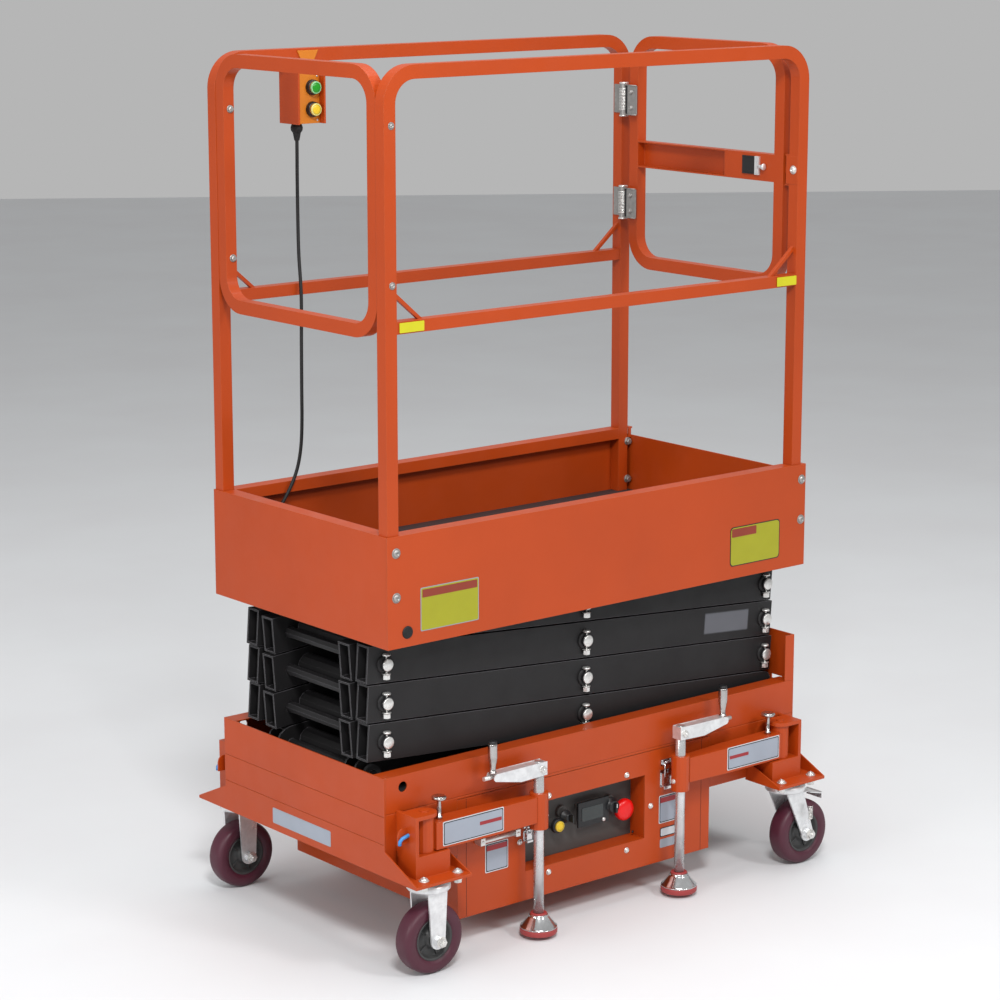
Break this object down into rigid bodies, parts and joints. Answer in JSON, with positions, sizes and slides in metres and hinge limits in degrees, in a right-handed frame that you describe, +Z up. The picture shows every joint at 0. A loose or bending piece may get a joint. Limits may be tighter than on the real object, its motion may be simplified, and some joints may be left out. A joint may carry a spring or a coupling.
{
  "type": "scissor lift",
  "caption": "Compact push-around scissor lift with a railed platform, stacked scissor arms, swing-out outriggers with screw jacks, and caster wheels.",
  "frame": {"origin": "centre of the footprint of the whole machine, on the floor", "axes": "+X towards the gate and swivel casters, -Y towards the side with the lower controls, +Z up"},
  "size_m": [1.2111, 0.78, 1.835],
  "materials": {
    "orange_paint": "satin",
    "arm_grey": "satin",
    "dark_steel": "satin",
    "zinc": "satin",
    "tyre": "matte",
    "amber": "satin",
    "control_black": "matte",
    "cable_rubber": "matte",
    "stop_red": "gloss",
    "power_pack": "matte"
  },
  "bodies": {
    "scissor_inner_1": {"scissor_inner_1": "arm_grey"},
    "scissor_outer_1": {"scissor_outer_1": "arm_grey", "scissor_lower_axle": "arm_grey"},
    "scissor_inner_2": {"scissor_inner_2": "arm_grey"},
    "scissor_outer_2": {"scissor_outer_2": "arm_grey"},
    "scissor_inner_3": {"scissor_inner_3": "arm_grey"},
    "scissor_outer_3": {"scissor_outer_3": "arm_grey"},
    "scissor_inner_4": {"scissor_inner_4": "arm_grey"},
    "scissor_outer_4": {"scissor_outer_4": "arm_grey"},
    "lift_barrel": {"lift_cylinder_barrel": "dark_steel"},
    "lift_rod": {"lift_cylinder_rod": "zinc"},
    "gate": {"gate": "orange_paint"},
    "outrigger_rear_near": {"outrigger_arm_rear_near": "orange_paint"},
    "jack_rear_near": {"jack_rear_near": "zinc"},
    "outrigger_rear_far": {"outrigger_arm_rear_far": "orange_paint"},
    "jack_rear_far": {"jack_rear_far": "zinc"},
    "outrigger_front_near": {"outrigger_arm_front_near": "orange_paint"},
    "jack_front_near": {"jack_front_near": "zinc"},
    "outrigger_front_far": {"outrigger_arm_front_far": "orange_paint"},
    "jack_front_far": {"jack_front_far": "zinc"},
    "rear_wheel_near": {"rear_wheel_near": "tyre"},
    "caster_near": {"swivel_fork_near": "zinc"},
    "front_wheel_near": {"front_wheel_near": "tyre"},
    "rear_wheel_far": {"rear_wheel_far": "tyre"},
    "caster_far": {"swivel_fork_far": "zinc"},
    "front_wheel_far": {"front_wheel_far": "tyre"},
    "platform": {"platform_deck": "dark_steel", "toe_board_near": "orange_paint", "toe_board_far": "orange_paint", "toe_board_rear": "orange_paint", "entry_board": "orange_paint", "guard_rail_near": "orange_paint", "guard_rail_far": "orange_paint", "end_frame_rear": "orange_paint", "gate_hinge_lower": "zinc", "gate_hinge_upper": "zinc", "gate_keeper": "orange_paint", "control_box": "orange_paint", "control_plate": "amber", "cable_gland": "control_black", "control_cable": "cable_rubber", "cable_grommet": "control_black"},
    "chassis": {"battery_and_pump_block": "power_pack", "chassis_end_gate": "orange_paint", "chassis_end_rear": "orange_paint", "chassis_side_far": "orange_paint", "chassis_side_near": "orange_paint", "control_recess": "orange_paint", "emergency_stop": "stop_red", "lower_control_panel": "control_black", "lower_housing": "orange_paint", "rigid_fork_far": "zinc", "rigid_fork_near": "zinc", "swivel_plate_far": "zinc", "swivel_plate_near": "zinc", "tub_floor": "dark_steel"}
  },
  "joints": [
    {"name": "scissor_lift", "type": "hinge", "parent": "chassis", "child": "scissor_inner_1", "pos_m": [-0.5563, -0.0155, 0.386], "axis": [0, -1, 0], "range_deg": [0, 49.5]},
    {"name": "scissor_cross_1", "type": "hinge", "parent": "scissor_inner_1", "child": "scissor_outer_1", "pos_m": [-0.01885, -0.0155, 0.42688], "axis": [0, -1, 0], "range_deg": [-99, 0]},
    {"name": "scissor_knuckle_1", "type": "hinge", "parent": "scissor_outer_1", "child": "scissor_inner_2", "pos_m": [-0.5563, -0.0155, 0.46775], "axis": [0, -1, 0], "range_deg": [0, 99]},
    {"name": "scissor_cross_2", "type": "hinge", "parent": "scissor_inner_2", "child": "scissor_outer_2", "pos_m": [-0.01885, -0.0155, 0.50862], "axis": [0, -1, 0], "range_deg": [-99, 0]},
    {"name": "scissor_knuckle_2", "type": "hinge", "parent": "scissor_outer_2", "child": "scissor_inner_3", "pos_m": [-0.5563, -0.0155, 0.5495], "axis": [0, -1, 0], "range_deg": [0, 99]},
    {"name": "scissor_cross_3", "type": "hinge", "parent": "scissor_inner_3", "child": "scissor_outer_3", "pos_m": [-0.01885, -0.0155, 0.59037], "axis": [0, -1, 0], "range_deg": [-99, 0]},
    {"name": "scissor_knuckle_3", "type": "hinge", "parent": "scissor_outer_3", "child": "scissor_inner_4", "pos_m": [-0.5563, -0.0155, 0.63125], "axis": [0, -1, 0], "range_deg": [0, 99]},
    {"name": "scissor_cross_4", "type": "hinge", "parent": "scissor_inner_4", "child": "scissor_outer_4", "pos_m": [-0.01885, -0.0155, 0.67212], "axis": [0, -1, 0], "range_deg": [-99, 0]},
    {"name": "platform_level", "type": "hinge", "parent": "scissor_outer_4", "child": "platform", "pos_m": [-0.5563, -0.0155, 0.713], "axis": [0, -1, 0], "range_deg": [0, 49.5]},
    {"name": "cylinder_pivot", "type": "hinge", "parent": "scissor_inner_1", "child": "lift_barrel", "pos_m": [0.20151, -0.0155, 0.44363], "axis": [0, -1, 0], "range_deg": [-108.2, 0]},
    {"name": "cylinder_stroke", "type": "slide", "parent": "lift_barrel", "child": "lift_rod", "axis": [-0.993, 0, 0.1183], "range_m": [0, 0.1655]},
    {"name": "gate_swing", "type": "hinge", "parent": "platform", "child": "gate", "pos_m": [0.5147, 0.256, 1.5], "axis": [0, 0, -1], "range_deg": [0, 90]},
    {"name": "outrigger_swing_rear_near", "type": "hinge", "parent": "chassis", "child": "outrigger_rear_near", "pos_m": [-0.5323, -0.325, 0.29], "axis": [0, 0, -1], "range_deg": [0, 90]},
    {"name": "jack_screw_rear_near", "type": "slide", "parent": "outrigger_rear_near", "child": "jack_rear_near", "axis": [0, 0, 1], "range_m": [-0.03, 0.02]},
    {"name": "outrigger_swing_rear_far", "type": "hinge", "parent": "chassis", "child": "outrigger_rear_far", "pos_m": [-0.5323, 0.325, 0.29], "axis": [0, 0, 1], "range_deg": [0, 90]},
    {"name": "jack_screw_rear_far", "type": "slide", "parent": "outrigger_rear_far", "child": "jack_rear_far", "axis": [0, 0, 1], "range_m": [-0.03, 0.02]},
    {"name": "outrigger_swing_front_near", "type": "hinge", "parent": "chassis", "child": "outrigger_front_near", "pos_m": [0.4797, -0.325, 0.29], "axis": [0, 0, 1], "range_deg": [0, 90]},
    {"name": "jack_screw_front_near", "type": "slide", "parent": "outrigger_front_near", "child": "jack_front_near", "axis": [0, 0, 1], "range_m": [-0.03, 0.02]},
    {"name": "outrigger_swing_front_far", "type": "hinge", "parent": "chassis", "child": "outrigger_front_far", "pos_m": [0.4797, 0.325, 0.29], "axis": [0, 0, -1], "range_deg": [0, 90]},
    {"name": "jack_screw_front_far", "type": "slide", "parent": "outrigger_front_far", "child": "jack_front_far", "axis": [0, 0, 1], "range_m": [-0.03, 0.02]},
    {"name": "rear_wheel_spin_near", "type": "hinge", "parent": "chassis", "child": "rear_wheel_near", "pos_m": [-0.5318, -0.337, 0.074], "axis": [0, 1, 0], "continuous": true},
    {"name": "caster_swivel_near", "type": "hinge", "parent": "chassis", "child": "caster_near", "pos_m": [0.4887, -0.337, 0.2], "axis": [0, 0, 1], "continuous": true},
    {"name": "front_wheel_spin_near", "type": "hinge", "parent": "caster_near", "child": "front_wheel_near", "pos_m": [0.5313, -0.337, 0.074], "axis": [0, 1, 0], "continuous": true},
    {"name": "rear_wheel_spin_far", "type": "hinge", "parent": "chassis", "child": "rear_wheel_far", "pos_m": [-0.5318, 0.337, 0.074], "axis": [0, 1, 0], "continuous": true},
    {"name": "caster_swivel_far", "type": "hinge", "parent": "chassis", "child": "caster_far", "pos_m": [0.4887, 0.337, 0.2], "axis": [0, 0, 1], "continuous": true},
    {"name": "front_wheel_spin_far", "type": "hinge", "parent": "caster_far", "child": "front_wheel_far", "pos_m": [0.5313, 0.337, 0.074], "axis": [0, 1, 0], "continuous": true}
  ],
  "couplings": [
    {"joint": "scissor_cross_1", "follows": "scissor_lift", "ratio": -2},
    {"joint": "scissor_knuckle_1", "follows": "scissor_lift", "ratio": 2},
    {"joint": "scissor_cross_2", "follows": "scissor_lift", "ratio": -2},
    {"joint": "scissor_knuckle_2", "follows": "scissor_lift", "ratio": 2},
    {"joint": "scissor_cross_3", "follows": "scissor_lift", "ratio": -2},
    {"joint": "scissor_knuckle_3", "follows": "scissor_lift", "ratio": 2},
    {"joint": "scissor_cross_4", "follows": "scissor_lift", "ratio": -2},
    {"joint": "platform_level", "follows": "scissor_lift", "ratio": 1},
    {"joint": "cylinder_pivot", "follows": "scissor_lift", "ratio": -2.1759},
    {"joint": "cylinder_stroke", "follows": "scissor_lift", "m_per_rad": 0.1904}
  ]
}
